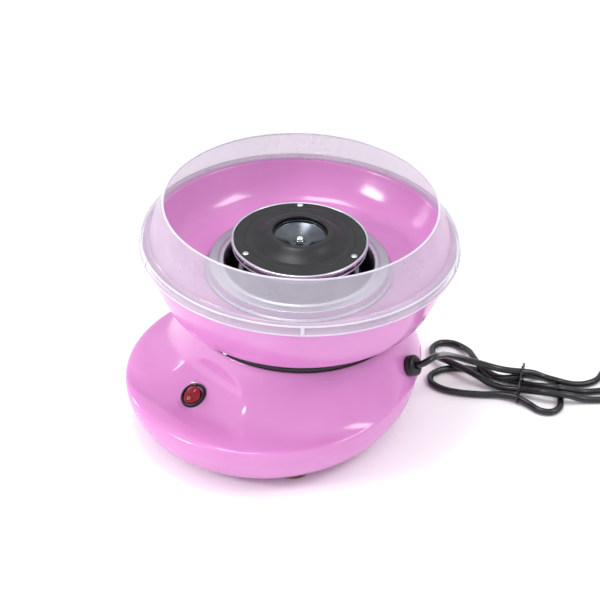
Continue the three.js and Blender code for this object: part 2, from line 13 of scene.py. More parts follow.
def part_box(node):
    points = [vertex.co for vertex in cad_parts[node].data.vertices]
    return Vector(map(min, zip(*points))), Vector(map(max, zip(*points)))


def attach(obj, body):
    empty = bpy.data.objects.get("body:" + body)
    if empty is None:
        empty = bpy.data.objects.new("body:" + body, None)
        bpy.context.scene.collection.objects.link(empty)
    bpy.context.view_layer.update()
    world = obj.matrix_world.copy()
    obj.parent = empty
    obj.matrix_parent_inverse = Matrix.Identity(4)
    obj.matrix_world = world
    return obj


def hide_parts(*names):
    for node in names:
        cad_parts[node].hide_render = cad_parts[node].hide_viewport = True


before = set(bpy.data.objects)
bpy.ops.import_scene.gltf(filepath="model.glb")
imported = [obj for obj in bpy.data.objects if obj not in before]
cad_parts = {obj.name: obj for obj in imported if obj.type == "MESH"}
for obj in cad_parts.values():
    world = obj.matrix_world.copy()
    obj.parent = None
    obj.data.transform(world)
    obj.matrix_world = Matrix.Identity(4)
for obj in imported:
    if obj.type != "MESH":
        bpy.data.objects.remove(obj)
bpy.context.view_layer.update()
MM = 0.001
low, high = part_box("spindle")
SPIN = Vector(((low[0] + high[0]) / 2, (low[1] + high[1]) / 2, 0))

# %% [markdown]
# The camera comes first. It is a long lens a good way off, above the right-hand front corner and
# leaning by two degrees, so the machine keeps its proportions and stands turned to the left.

# %% Camera
def look_from(azimuth, elevation, distance, aim, roll):
    az, el = math.radians(azimuth), math.radians(elevation)
    back = Vector((math.sin(az) * math.cos(el), -math.cos(az) * math.cos(el), math.sin(el)))
    right = Vector((0, 0, 1)).cross(back).normalized()
    up = back.cross(right)
    turn = math.radians(roll)
    tilted_up = up * math.cos(turn) - right * math.sin(turn)
    tilted_right = right * math.cos(turn) + up * math.sin(turn)
    place = aim + back * distance
    return Matrix((
        (tilted_right.x, tilted_up.x, back.x, place.x),
        (tilted_right.y, tilted_up.y, back.y, place.y),
        (tilted_right.z, tilted_up.z, back.z, place.z),
        (0, 0, 0, 1)))

camera_data = bpy.data.cameras.new("camera")
camera_data.lens = 120
camera_data.sensor_width = 36
camera_data.clip_end = 20
camera = bpy.data.objects.new("camera", camera_data)
bpy.context.scene.collection.objects.link(camera)
camera.matrix_world = look_from(50, 34.68, 1.732, SPIN + Vector((0.0012, 0.0014, 0.1066)), 2)
bpy.context.scene.camera = camera
print("camera at", camera.matrix_world.translation)

# %% [markdown]
# Blender's tools act on whatever is selected, so every piece starts with nothing selected. A finished
# piece keeps its object at the origin: its place is in its mesh.

# %% Small tools for making pieces
def start_clean():
    if bpy.context.object and bpy.context.object.mode != "OBJECT":
        bpy.ops.object.mode_set(mode="OBJECT")
    bpy.ops.object.select_all(action="DESELECT")


def finish_piece(obj, name, smooth=35):
    obj.name = name
    obj.data.name = name
    bpy.ops.object.transform_apply(location=True, rotation=True, scale=True)
    for modifier in list(obj.modifiers):
        bpy.ops.object.modifier_apply(modifier=modifier.name)
    bpy.ops.object.shade_smooth_by_angle(angle=math.radians(smooth))
    obj.select_set(False)
    print(name, len(obj.data.polygons), "faces")
    return obj


def softened(profile, fillet=0.5, steps=4, closed=True):
    """Rounds a profile's corners. A corner may state its own fillet as a third number."""
    out = []
    count = len(profile)
    for i, corner in enumerate(profile):
        here = Vector(corner[:2])
        if not closed and i in (0, count - 1):
            out.append(tuple(here))
            continue
        before = Vector(profile[i - 1][:2])
        after = Vector(profile[(i + 1) % count][:2])
        reach = corner[2] if len(corner) > 2 else fillet
        reach = min(reach, 0.45 * (before - here).length, 0.45 * (after - here).length)
        if reach < 0.05:
            out.append(tuple(here))
            continue
        start = here + (before - here).normalized() * reach
        end = here + (after - here).normalized() * reach
        for k in range(steps + 1):
            t = k / steps
            out.append(tuple(start * (1 - t) ** 2 + here * 2 * t * (1 - t) + end * t ** 2))
    return out


def ring_up(profile, steps, centre):
    """A circle is drawn out ring by ring through [radius, height] points, as on a lathe."""
    start_clean()
    radius, z = profile[0]
    bpy.ops.mesh.primitive_circle_add(vertices=steps, radius=max(radius, 0.05) * MM,
                                      location=(centre.x, centre.y, z * MM))
    bpy.ops.object.transform_apply(location=True)
    bpy.ops.object.mode_set(mode="EDIT")
    bpy.ops.mesh.select_all(action="SELECT")
    for (r0, z0), (r1, z1) in zip(profile, profile[1:]):
        grow = max(r1, 0.05) / max(r0, 0.05)
        bpy.ops.mesh.extrude_region_move(TRANSFORM_OT_translate={"value": (0, 0, (z1 - z0) * MM)})
        bpy.ops.transform.resize(value=(grow, grow, 1), center_override=(centre.x, centre.y, z1 * MM))


def turned(name, profile, steps=128, closed=True, smooth=35, centre=SPIN):
    ring_up(profile, steps, centre)
    bpy.ops.mesh.select_all(action="DESELECT")
    bpy.ops.mesh.select_mode(type="EDGE")
    bpy.ops.mesh.select_non_manifold()
    if closed:
        bpy.ops.mesh.bridge_edge_loops()
    else:
        bpy.ops.mesh.fill_holes(sides=0)
    bpy.ops.mesh.select_all(action="SELECT")
    bpy.ops.mesh.normals_make_consistent(inside=False)
    bpy.ops.object.mode_set(mode="OBJECT")
    return finish_piece(bpy.context.object, name, smooth)

# %% [markdown]
# The mains lead is a round 6 mm cable, about 1.7 m long. It was tied in loops when it was packed, and
# the loops keep their form: it drops from the gland over them, turns, comes back through the tie,
# makes two loops on one side and one on the other, and ends in a small coil and a two-pin plug.

# %% The lead's route on the table, in millimetres
CORD = 6.0
GLAND_ANGLE, GLAND_TILT, GLAND_RADIUS, GLAND_Z = 27, 28, 105.8, 70


def gland_point(out):
    turn, tilt = math.radians(GLAND_ANGLE), math.radians(GLAND_TILT)
    radius = GLAND_RADIUS + out * math.cos(tilt)
    return (radius * math.cos(turn), radius * math.sin(turn) + SPIN.y / MM, GLAND_Z + out * math.sin(tilt))


ROUTE = [
    (107, 69.5, 79), (105.5, 77, 78.5), (100, 88.5, 71.5), (93, 101, 62.5), (86.5, 116, 51),
    (84, 131, 40.5), (85, 144, 32), (89.5, 156, 25.5), (96.5, 167, 20.5), (104, 176, 18.5),
    (110.5, 184.5, 17.5), (116, 194, 14.8), (123, 202, 10.8), (132, 208, 9.8), (139, 218.5, 5.6),
    (144.5, 231, 3), (147, 245, 3), (141.5, 260, 3), (138, 275, 3), (144, 291, 3), (159, 297, 3),
    (173, 289, 3), (176.5, 273, 3), (171.5, 255, 3), (162, 238, 3), (153, 223, 3), (147, 211, 6.6),
    (141, 201, 9.8), (131, 194, 9), (119, 188.5, 5.8), (109, 184.5, 4.2), (98, 179, 3.2), (85, 173, 3),
    (72, 167.5, 3), (61.5, 160, 3), (54.5, 150.5, 3), (50.5, 139, 3), (51.5, 127.5, 3), (60, 121, 3),
    (73, 123, 3), (86, 131.5, 3), (99, 144.5, 3), (111, 158, 3.8), (124, 166.5, 4.4), (136, 169.5, 3.4),
    (148, 171, 3), (156, 177.5, 3), (156.5, 187, 3), (148, 197.5, 3), (135, 207, 3), (123, 212, 3),
    (113, 208.5, 3), (108, 200, 4.6), (107, 191, 8.4), (106.5, 182, 10.9), (103.5, 174, 11),
    (97, 168.5, 10.2), (85, 167, 9.6), (72, 168, 9.6), (61, 171.5, 9.4), (50, 177, 7), (38, 180, 4),
    (26, 177.5, 3), (19, 168.5, 3), (20.5, 158, 3), (29, 150.5, 4.5), (41, 148, 8), (55, 150, 9.6),
    (69, 153, 9.6), (84, 156, 9), (94, 160, 5.6), (105, 167, 3.8), (116, 175, 4.8), (127, 180.5, 7.4),
    (137, 185.5, 9.8), (146, 193, 9.9), (153, 202, 8.6), (160, 212, 4.4), (169, 225, 3),
    (177.5, 239, 3), (184, 251.5, 3),
]
COIL_X, COIL_Y, COIL_Z = 222, 275, 4.2
COIL_RADIUS, COIL_PITCH = 33, 6.3
COIL_SWEEP, COIL_STEP = 880, 24


def coil_point(swept):
    angle = math.radians(180 - swept)
    return (COIL_X + COIL_RADIUS * math.cos(angle), COIL_Y + COIL_RADIUS * math.sin(angle),
            COIL_Z + COIL_PITCH * swept / 360)


COIL = [coil_point(COIL_STEP * k) for k in range(int(COIL_SWEEP / COIL_STEP) + 1)]
TAIL = [(258.5, 271.5, 19.6), (265.5, 256, 14), (273.5, 239, 9), (281.5, 222.5, 6.8), (285.5, 215.5, 6.8)]
INSIDE_GLAND = [gland_point(out) for out in (-20, -10, 0, 12.5)]
points = INSIDE_GLAND + ROUTE + COIL + TAIL
print("lead route in", len(points), "points")

# %% [markdown]
# A line is drawn smoothly through the route's points. A curve with a round bevel makes it a tube.

# %% The lead as a tube
def smooth_line(control, spacing=2.5):
    """A centripetal Catmull-Rom line through the points, which never overshoots at a close pair."""
    p = [Vector(v) for v in control]
    p = [p[0] * 2 - p[1]] + p + [p[-1] * 2 - p[-2]]
    line = []
    for a, b, c, d in zip(p, p[1:], p[2:], p[3:]):
        t1 = (b - a).length ** 0.5
        t2 = t1 + (c - b).length ** 0.5
        t3 = t2 + (d - c).length ** 0.5
        count = max(2, round((c - b).length / spacing))
        for k in range(count):
            t = t1 + (t2 - t1) * k / count
            ab = a * ((t1 - t) / t1) + b * (t / t1)
            bc = b * ((t2 - t) / (t2 - t1)) + c * ((t - t1) / (t2 - t1))
            cd = c * ((t3 - t) / (t3 - t2)) + d * ((t - t2) / (t3 - t2))
            abc = ab * ((t2 - t) / t2) + bc * (t / t2)
            bcd = bc * ((t3 - t) / (t3 - t1)) + cd * ((t - t1) / (t3 - t1))
            line.append(abc * ((t2 - t) / (t2 - t1)) + bcd * ((t - t1) / (t2 - t1)))
    line.append(p[-2])
    return line


def tube_curve(name, line, diameter, cyclic=False, sides=6):
    curve = bpy.data.curves.new(name, "CURVE")
    curve.dimensions = "3D"
    curve.bevel_depth = diameter / 2 * MM
    curve.bevel_resolution = sides
    curve.use_fill_caps = not cyclic
    spline = curve.splines.new("POLY")
    spline.points.add(len(line) - 1)
    for point, place in zip(spline.points, line):
        point.co = (place[0] * MM, place[1] * MM, place[2] * MM, 1)
    spline.use_cyclic_u = cyclic
    spline.use_smooth = True
    obj = bpy.data.objects.new(name, curve)
    bpy.context.scene.collection.objects.link(obj)
    return obj


cord_line = smooth_line(points)
mains_lead = tube_curve("mains_lead", cord_line, CORD)

# %% [markdown]
# Materials are node graphs. One helper adds a node with its settings and links. Colours are sRGB hex
# values, turned to linear by one function, and patterns read Object coordinates in metres.

# %% Material tools
def linear(hex_colour):
    channels = [int(hex_colour[i:i + 2], 16) / 255 for i in (0, 2, 4)]
    return tuple(c / 12.92 if c <= 0.04045 else ((c + 0.055) / 1.055) ** 2.4 for c in channels) + (1.0,)


def add(tree, kind, values=None, links=None, **settings):
    node = tree.nodes.new(kind)
    for key, value in settings.items():
        setattr(node, key, value)
    for socket, value in (values or {}).items():
        node.inputs[socket].default_value = value
    for socket, source in (links or {}).items():
        tree.links.new(source, node.inputs[socket])
    return node


def new_material(name, colour, roughness, metallic=0.0, **more):
    """Gives the material, its tree, its shader and the Object coordinate output."""
    material = bpy.data.materials.new(name)
    material.use_nodes = True
    tree = material.node_tree
    shader = tree.nodes["Principled BSDF"]
    shader.inputs["Base Color"].default_value = linear(colour)
    shader.inputs["Roughness"].default_value = roughness
    shader.inputs["Metallic"].default_value = metallic
    for socket, value in more.items():
        shader.inputs[socket.replace("_", " ")].default_value = value
    material.diffuse_color = linear(colour)
    place = add(tree, "ShaderNodeTexCoord").outputs["Object"]
    return material, tree, shader, place


def mottle(tree, place, shader, first, second, scale, detail=3.0):
    """Drifts the base colour between two close shades."""
    noise = add(tree, "ShaderNodeTexNoise", {"Scale": scale, "Detail": detail}, {"Vector": place})
    ramp = add(tree, "ShaderNodeValToRGB", links={"Fac": noise.outputs["Fac"]})
    ramp.color_ramp.elements[0].position = 0.35
    ramp.color_ramp.elements[1].position = 0.65
    ramp.color_ramp.elements[0].color = linear(first)
    ramp.color_ramp.elements[1].color = linear(second)
    tree.links.new(ramp.outputs["Color"], shader.inputs["Base Color"])


def grain(tree, place, shader, scale, strength, distance=0.0001, rough=None):
    """A fine bump, and with rough = (low, high) a matching drift of roughness."""
    noise = add(tree, "ShaderNodeTexNoise", {"Scale": scale, "Detail": 4.0}, {"Vector": place})
    bump = add(tree, "ShaderNodeBump", {"Strength": strength, "Distance": distance},
               {"Height": noise.outputs["Fac"]})
    tree.links.new(bump.outputs["Normal"], shader.inputs["Normal"])
    if rough:
        patch = add(tree, "ShaderNodeTexNoise", {"Scale": 22.0, "Detail": 5.0}, {"Vector": place})
        spread = add(tree, "ShaderNodeMapRange", {"To Min": rough[0], "To Max": rough[1]},
                     {"Value": patch.outputs["Fac"]})
        tree.links.new(spread.outputs["Result"], shader.inputs["Roughness"])

# %% [markdown]
# ABS is the hard, glossy plastic of the base and bowl. It was injection moulded in a polished tool, so
# its gloss is clear, with a faint orange-peel waviness a millimetre or two across and a slight drift
# of shade where the pink pigment flowed. The guard is polycarbonate with a little white in it.

# %% Plastics of the base, bowl and guard
pink_abs, tree, shader, place = new_material("abs_pink_polished", "ca7fbc", 0.16)
shader.inputs["IOR"].default_value = 1.53
mottle(tree, place, shader, "c77bb9", "cd84c0", 14.0)
grain(tree, place, shader, 700.0, 0.05, rough=(0.12, 0.2))

# Clear enough to see the head through; the brightness on its edges is a painted highlight in the edge plastic
# below.
clear_pc, tree, shader, place = new_material("polycarbonate_milky", "c5c0cc", 0.1)
shader.inputs["IOR"].default_value = 1.58
shader.inputs["Alpha"].default_value = 0.4
mottle(tree, place, shader, "c1bcc9", "c9c4d0", 30.0)
grain(tree, place, shader, 160.0, 0.02, rough=(0.07, 0.13))

# Light gathers in the guard's cut and rolled edges, so they look nearly white; this paler, more opaque
# plastic paints that highlight on the edge beads and ribs.
pc_painted_edge_highlight, tree, shader, place = new_material("polycarbonate_painted_edge_highlight", "dcd8e4", 0.14)
shader.inputs["IOR"].default_value = 1.58
shader.inputs["Alpha"].default_value = 0.75
mottle(tree, place, shader, "d8d4e0", "e0dce8", 30.0)
grain(tree, place, shader, 300.0, 0.05)
print("made", pink_abs.name, clear_pc.name, pc_painted_edge_highlight.name)

# %% [markdown]
# The dark parts are glass-filled nylon, moulded in a spark-eroded tool, so they are satin with a fine
# pebble near half a millimetre. The lead's sheath is soft PVC and the feet are moulded rubber.

# %% Black plastics and rubber
black_nylon, tree, shader, place = new_material("nylon_black_textured", "151619", 0.34)
shader.inputs["Specular IOR Level"].default_value = 0.38
mottle(tree, place, shader, "131417", "191a1e", 60.0)
grain(tree, place, shader, 1900.0, 0.2, rough=(0.3, 0.42))

# Plasticised PVC, extruded smooth: glossy, with faint rub marks.
pvc_black, tree, shader, place = new_material("pvc_sheath_black", "121216", 0.24)
mottle(tree, place, shader, "0f0f13", "1a1a20", 90.0)
grain(tree, place, shader, 420.0, 0.12, rough=(0.18, 0.34))

# Tinted polycarbonate of the rocker, lit from inside on the real one: deep red with a clear gloss.
red_pc, tree, shader, place = new_material("polycarbonate_red", "7c0a20", 0.16)
shader.inputs["Subsurface Weight"].default_value = 0.15
shader.inputs["Subsurface Radius"].default_value = (0.004, 0.0006, 0.0006)
shader.inputs["Subsurface Scale"].default_value = 1.0
shader.inputs["Specular IOR Level"].default_value = 0.25
mottle(tree, place, shader, "74081c", "8a0e26", 260.0)
grain(tree, place, shader, 900.0, 0.06)

# Dull brown, lightly dusty.
rubber, tree, shader, place = new_material("rubber_brown", "7a5455", 0.75)
mottle(tree, place, shader, "704b4d", "876163", 160.0)
grain(tree, place, shader, 1500.0, 0.35, rough=(0.65, 0.85))
print("made", black_nylon.name, pvc_black.name, red_pc.name, rubber.name)

# %% [markdown]
# Small parts: the switch's marks are filled ink, the bowl's lug is nylon without pigment, and the parts
# that stand the heat inside are ceramic.

# %% Ink, natural nylon and ceramic
white_ink, tree, shader, place = new_material("ink_white", "d9b9bd", 0.5)
mottle(tree, place, shader, "d2b0b5", "e0c4c7", 800.0)
grain(tree, place, shader, 3000.0, 0.1)

# Milky and evenly pale.
natural_nylon, tree, shader, place = new_material("nylon_natural", "e9e4e8", 0.35)
mottle(tree, place, shader, "e2dce2", "f0ecef", 200.0)
grain(tree, place, shader, 900.0, 0.1)

# Steatite, fired without a glaze: chalky and dull.
ceramic, tree, shader, place = new_material("steatite_ceramic", "e2dccd", 0.6)
mottle(tree, place, shader, "d8d1c0", "e9e4d8", 120.0)
grain(tree, place, shader, 1600.0, 0.2, rough=(0.5, 0.7))
print("made", white_ink.name, natural_nylon.name, ceramic.name)

# %% [markdown]
# Metal that was spun or turned carries fine rings round its axis. The rings come from the distance to
# the spindle: a Mapping node moves the centre there, the height is flattened out, and a noise that
# only knows that distance draws lines a few tenths of a millimetre apart.

# %% Spun aluminium
def from_spindle(tree, place):
    """Gives the distance of a place from the spindle's axis."""
    centred = add(tree, "ShaderNodeMapping", {"Location": (-SPIN.x, -SPIN.y, 0), "Scale": (1, 1, 0)},
                  {"Vector": place}, vector_type="POINT")
    return add(tree, "ShaderNodeVectorMath", links={0: centred.outputs["Vector"]},
               operation="LENGTH").outputs["Value"]


def turned_lines(tree, place, shader, spacing, strength, rough):
    rings = add(tree, "ShaderNodeTexNoise", {"Scale": 1 / spacing, "Detail": 2.0},
                {"W": from_spindle(tree, place)}, noise_dimensions="1D")
    bump = add(tree, "ShaderNodeBump", {"Strength": strength, "Distance": 0.00006},
               {"Height": rings.outputs["Fac"]})
    tree.links.new(bump.outputs["Normal"], shader.inputs["Normal"])
    spread = add(tree, "ShaderNodeMapRange", {"To Min": rough[0], "To Max": rough[1]},
                 {"Value": rings.outputs["Fac"]})
    tree.links.new(spread.outputs["Result"], shader.inputs["Roughness"])


aluminium, tree, shader, place = new_material("aluminium_spun", "cfcfd6", 0.3, 1.0)
turned_lines(tree, place, shader, 0.0006, 0.35, (0.2, 0.4))
mottle(tree, place, shader, "c6c6ce", "d8d8de", 45.0)

# Inside its lip the pan's well lies in shade, and that shade is painted: the same metal is coloured nearly
# black there. The painted shade starts at a ragged line near this radius.
WELL_SHADE_FROM, WELL_SHADE_TO = 0.0635, 0.0665
aluminium_well_shade, tree, shader, place = new_material("aluminium_painted_well_shade", "cfcfd6", 0.3, 1.0)
turned_lines(tree, place, shader, 0.0009, 0.4, (0.22, 0.42))
radius = from_spindle(tree, place)
patches = add(tree, "ShaderNodeTexNoise", {"Scale": 90.0, "Detail": 5.0}, {"Vector": place})
ragged = add(tree, "ShaderNodeMath", {1: 0.003}, {0: patches.outputs["Fac"], 2: radius},
             operation="MULTIPLY_ADD")
out_of_shade = add(tree, "ShaderNodeMapRange", {"From Min": WELL_SHADE_FROM, "From Max": WELL_SHADE_TO},
            {"Value": ragged.outputs[0]})
well_shade_ramp = add(tree, "ShaderNodeValToRGB", links={"Fac": out_of_shade.outputs["Result"]})
well_shade_ramp.color_ramp.elements[0].color = linear("2a2529")
well_shade_ramp.color_ramp.elements[1].color = linear("cbcbd3")
tree.links.new(well_shade_ramp.outputs["Color"], shader.inputs["Base Color"])
print("made", aluminium.name, aluminium_well_shade.name)

# %% [markdown]
# Steel comes three ways: the funnel's satin grey with turned rings, chrome on the nut, and the patchy
# grey of zinc plating inside. The plug's pins and the bearings are turned brass.

# %% Steel and brass
satin_steel, tree, shader, place = new_material("steel_satin_grey", "5d6168", 0.22, 1.0)
turned_lines(tree, place, shader, 0.0008, 0.2, (0.16, 0.3))
mottle(tree, place, shader, "565a61", "666a71", 70.0)

bright_steel, tree, shader, place = new_material("steel_chromed", "d9dbe0", 0.08, 1.0)
mottle(tree, place, shader, "d2d4da", "e0e2e6", 70.0)
grain(tree, place, shader, 500.0, 0.05, rough=(0.05, 0.14))

zinc_steel, tree, shader, place = new_material("steel_zinc_plated", "a7aab0", 0.36, 1.0)
mottle(tree, place, shader, "989ba2", "b6b9be", 75.0, 6.0)
grain(tree, place, shader, 900.0, 0.12, rough=(0.28, 0.45))

brass, tree, shader, place = new_material("brass_turned", "c39a55", 0.28, 1.0)
mottle(tree, place, shader, "b98f4b", "cfa863", 110.0)
grain(tree, place, shader, 1300.0, 0.1, rough=(0.22, 0.36))
print("made", satin_steel.name, bright_steel.name, zinc_steel.name, brass.name)

# %% [markdown]
# The sugar leaves through perforated stainless steel. Its round holes are on a fine pitch, drawn 1.3 mm
# apart so that they show. The wires inside the base wear coloured sleeves.

# %% Perforated steel and sleeves
perforated, tree, shader, place = new_material("stainless_perforated", "b9bbc0", 0.3, 1.0)
cells = add(tree, "ShaderNodeTexVoronoi", {"Scale": 770.0, "Randomness": 0.15}, {"Vector": place})
holes = add(tree, "ShaderNodeValToRGB", links={"Fac": cells.outputs["Distance"]})
holes.color_ramp.interpolation = "CONSTANT"
holes.color_ramp.elements[0].color = linear("16161a")
holes.color_ramp.elements[1].position = 0.33
holes.color_ramp.elements[1].color = linear("b9bbc0")
tree.links.new(holes.outputs["Color"], shader.inputs["Base Color"])
bump = add(tree, "ShaderNodeBump", {"Strength": 0.6, "Distance": 0.0002},
           {"Height": cells.outputs["Distance"]})
tree.links.new(bump.outputs["Normal"], shader.inputs["Normal"])

sleeves = {}
for name, colour, dark in (("wire_sleeve_blue", "2c4f9e", "24438a"),
                           ("wire_sleeve_brown", "6b3f22", "5b341b")):
    sleeves[name], tree, shader, place = new_material(name, colour, 0.45)
    mottle(tree, place, shader, dark, colour, 200.0)
    grain(tree, place, shader, 1100.0, 0.15)
print("made", perforated.name, *sleeves)


def dress(obj, material):
    obj.data.materials.clear()
    obj.data.materials.append(material)

# %% [markdown]
# The plug is a flat two-pin one. It is a cube cut into a grid, whose points are drawn in at the waist
# and towards the cable, and then rounded with a bevel.

# %% Plug
PLUG_X, PLUG_Y, PLUG_Z = 302, 187, 6.8
PLUG_TURN = math.radians(30)
PLUG_LENGTH, PLUG_HALF_WIDTH, PLUG_HALF_THICK = 37, 16.6, 6.4


def plug_place(x, y, z):
    return Vector((PLUG_X + x * math.cos(PLUG_TURN) - y * math.sin(PLUG_TURN),
                   PLUG_Y + x * math.sin(PLUG_TURN) + y * math.cos(PLUG_TURN), PLUG_Z + z)) * MM


start_clean()
bpy.ops.mesh.primitive_cube_add(size=1, location=(0, 0, 0))
plug = bpy.context.object
bpy.ops.object.mode_set(mode="EDIT")
bpy.ops.mesh.subdivide(number_cuts=5)
bpy.ops.object.mode_set(mode="OBJECT")
for vertex in plug.data.vertices:
    x, y, z = vertex.co
    along = (y + 0.5) * PLUG_LENGTH
    half = PLUG_HALF_WIDTH - 0.5 * (along / PLUG_LENGTH) - 11.5 * max(0, (along - 12) / 25) ** 1.4
    waist = 1 - 0.07 * math.sin(math.pi * min(1, along / 22))
    thick = PLUG_HALF_THICK - 2.2 * max(0, (along - 15) / 22) ** 1.5
    vertex.co = plug_place(x * 2 * half * waist, along, z * 2 * thick)
bevel = plug.modifiers.new("round", "BEVEL")
bevel.width = 0.0016
bevel.segments = 3
bevel.limit_method = "ANGLE"
bevel.angle_limit = math.radians(40)
subdivision = plug.modifiers.new("smooth", "SUBSURF")
subdivision.levels = subdivision.render_levels = 1
finish_piece(plug, "mains_plug", 40)
dress(plug, pvc_black)
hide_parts("plug_body")
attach(plug, "base")
for name in ("plug_pin_1", "plug_pin_2"):
    dress(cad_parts[name], brass)

# %% [markdown]
# A twist tie is a strip of soft wire in plastic. It hugs the bundle and its two ends are twisted. A
# strap holds the stored coil in the same way.

# %% Ties
TIE_TURN = math.radians(-53)
tie_across = Vector((math.cos(TIE_TURN), math.sin(TIE_TURN), 0))
tie_middle = Vector((115.4, 178.4, 0))
hug = [(-20.6, 8), (-18.5, 14), (-12, 19.6), (-4, 21.4), (5, 20.4), (13, 17.6), (18.6, 13), (20, 7),
       (18, 1.6), (9, 0.9), (-5, 0.9), (-14, 1.4), (-19, 3.6)]
loop = [tie_middle + tie_across * u + Vector((0, 0, z)) for u, z in hug]
tie = tube_curve("twist_tie", smooth_line(loop + [loop[0]], 2.0), 1.6, sides=3)
tail_ends = [tie_middle + tie_across * u + Vector((s * 2, 0, z)) for u, s, z in
             ((-5, 0.4, 21.6), (-7, -0.6, 23), (-9.5, 0.6, 23.4), (-12, -0.5, 22.8), (-14.5, 0.2, 21.8))]
twist = tube_curve("twist_tie_ends", smooth_line(tail_ends, 1.2), 1.5, sides=3)
coil_hug = [(-4.0, 4), (-3.2, 1.4), (0, 0.8), (3.2, 1.4), (4.0, 4), (4.2, 12), (4.0, 19), (2.6, 22.6),
            (-2.6, 22.6), (-4.0, 19), (-4.2, 12)]
ring = [Vector((COIL_X, COIL_Y - COIL_RADIUS + u, z)) for u, z in coil_hug]
coil_tie = tube_curve("coil_tie_strap", smooth_line(ring + [ring[0]], 1.5), 1.5, sides=3)
for obj, nodes in ((tie, ["cord_tie"]), (twist, []), (coil_tie, ["coil_tie"])):
    dress(obj, pvc_black)
    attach(obj, "base")
    if nodes:
        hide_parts(*nodes)
print("ties", [obj.name for obj in (tie, twist, coil_tie)])

# %% [markdown]
# The lead gets its black sheath and joins the base, and the frame's cord, coil and tail are hidden.

# %% The lead's sheath
dress(mains_lead, pvc_black)
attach(mains_lead, "base")
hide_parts("power_cord", "cord_coil", "cord_tail")

# %% [markdown]
# The base is one moulded shell. Round the back it is a bun, and towards the front it draws out into a
# lobe for the switch. It is a loft: every meridian is a mix of a back profile and a front profile, and
# the mix rises smoothly towards the front. The dish for the switch is pressed in along the switch's
# own axis, with a soft edge, which keeps the surface in one piece and free of boolean seams.

# %% The base's two profiles
WALL = 2.6
FOOT_Z = 4.0
NECK_R, NECK_Z = 93.0, 96.2


def bezier(a, b, c, d, count):
    a, b, c, d = (Vector(p) for p in (a, b, c, d))
    line = []
    for k in range(count + 1):
        t = k / count
        line.append(a * (1 - t) ** 3 + b * 3 * t * (1 - t) ** 2 + c * 3 * t * t * (1 - t) + d * t ** 3)
    return line


def side(foot, belly, belly_z, turn, rise, neck_control, inset, low_steps, high_steps):
    below = bezier((foot, FOOT_Z), (foot + (belly - foot) * turn, FOOT_Z),
                   (belly, belly_z - (belly_z - FOOT_Z) * turn), (belly, belly_z), low_steps)
    above = bezier((belly, belly_z), (belly, belly_z + rise), neck_control, (NECK_R, NECK_Z), high_steps)
    outline = below + above[1:]
    moved = []
    for i, point in enumerate(outline):
        along = (outline[min(i + 1, len(outline) - 1)] - outline[max(i - 1, 0)]).normalized()
        moved.append(Vector((point.x - along.y * inset, point.y + along.x * inset)))
    return moved


def whole_profile(foot, belly, belly_z, turn, rise, neck_control):
    outer = side(foot, belly, belly_z, turn, rise, neck_control, 0, 36, 84)
    inner = side(foot, belly, belly_z, turn, rise, neck_control, WALL, 10, 16)
    start, end = outer[0], outer[-1]
    lip = [Vector((end.x - 1.3 + 1.3 * math.cos(a), end.y - 1.3 + 1.3 * math.sin(a)))
           for a in (0.3, 0.8, 1.3, 1.8, 2.4, 3.0)]
    edge = [Vector((start.x - 1.3 - 1.3 * math.cos(a), start.y + 1.3 - 1.3 * math.sin(a)))
            for a in (0.2, 0.8, 1.4)]
    body = [p for p in outer if p.y <= end.y - 1.4 or p.x > end.x + 4]
    return body + lip + list(reversed(inner[1:-1])) + edge


back_profile = whole_profile(64, 106.5, 48, 0.6, 5, (120, 46))
front_profile = whole_profile(124, 157, 42.5, 0.5, 18, (108, 27))
row_count = min(len(back_profile), len(front_profile))
# The last rows line the shell's inside and its foot edge.
LINING_ROWS = 30
print("rows", row_count, "of which", LINING_ROWS, "line the inside")

# %% [markdown]
# The dish is worked out in the switch's own frame, which is tilted back by thirty degrees. A point of
# the shell that stands above the dish's floor is pushed down to it.

# %% The dish
SWITCH = Vector((0, -111.5, 52.5))
SWITCH_TILT = math.radians(30)
DISH_DIP, DISH_TURN = math.radians(2.5), math.radians(5.5)
EGG_ALONG, EGG_ACROSS, EGG_DEEP = 400, 32, 30
SEAT_RADIUS, SEAT_Z = 11.8, 1.2
UP = Vector((0, -math.sin(SWITCH_TILT), math.cos(SWITCH_TILT)))
ACROSS = Vector((0, math.cos(SWITCH_TILT), math.sin(SWITCH_TILT)))


def soft_min(a, b, width):
    blend = max(0, min(1, 0.5 + 0.5 * (b - a) / width))
    return b * (1 - blend) + a * blend - width * blend * (1 - blend)


def pressed(point, depth):
    """The dish is the inside of a long egg, 64 mm from front to back, flat under the switch."""
    arm = point - SWITCH
    v, n = arm.dot(ACROSS), arm.dot(UP)
    if abs(v) > 45 or n < -14 or abs(arm.x) > 110:
        return point
    along = arm.x * math.cos(DISH_TURN) + v * math.sin(DISH_TURN)
    across = v * math.cos(DISH_TURN) - arm.x * math.sin(DISH_TURN)
    left = 1 - (along / EGG_ALONG) ** 2 - ((across + 1) / EGG_ACROSS) ** 2
    if left <= 0:
        return point
    floor = EGG_DEEP - EGG_DEEP * math.sqrt(left) - along * math.tan(DISH_DIP)
    seat = max(0, min(1, (math.hypot(arm.x, v) - SEAT_RADIUS) / 3))
    floor = SEAT_Z + (floor - SEAT_Z) * seat * seat * (3 - 2 * seat) if seat < 1 else floor
    return point + UP * (soft_min(n, floor - depth, 0.9) - n)


print("dish floor under the switch", round((pressed(SWITCH + UP * 10, 0) - SWITCH).dot(UP), 2), "mm")

# %% [markdown]
# The shell starts as a plain ring drawn up row by row. Then each point goes to its place on the loft.
# The rows crowd towards the front, where the dish needs them.

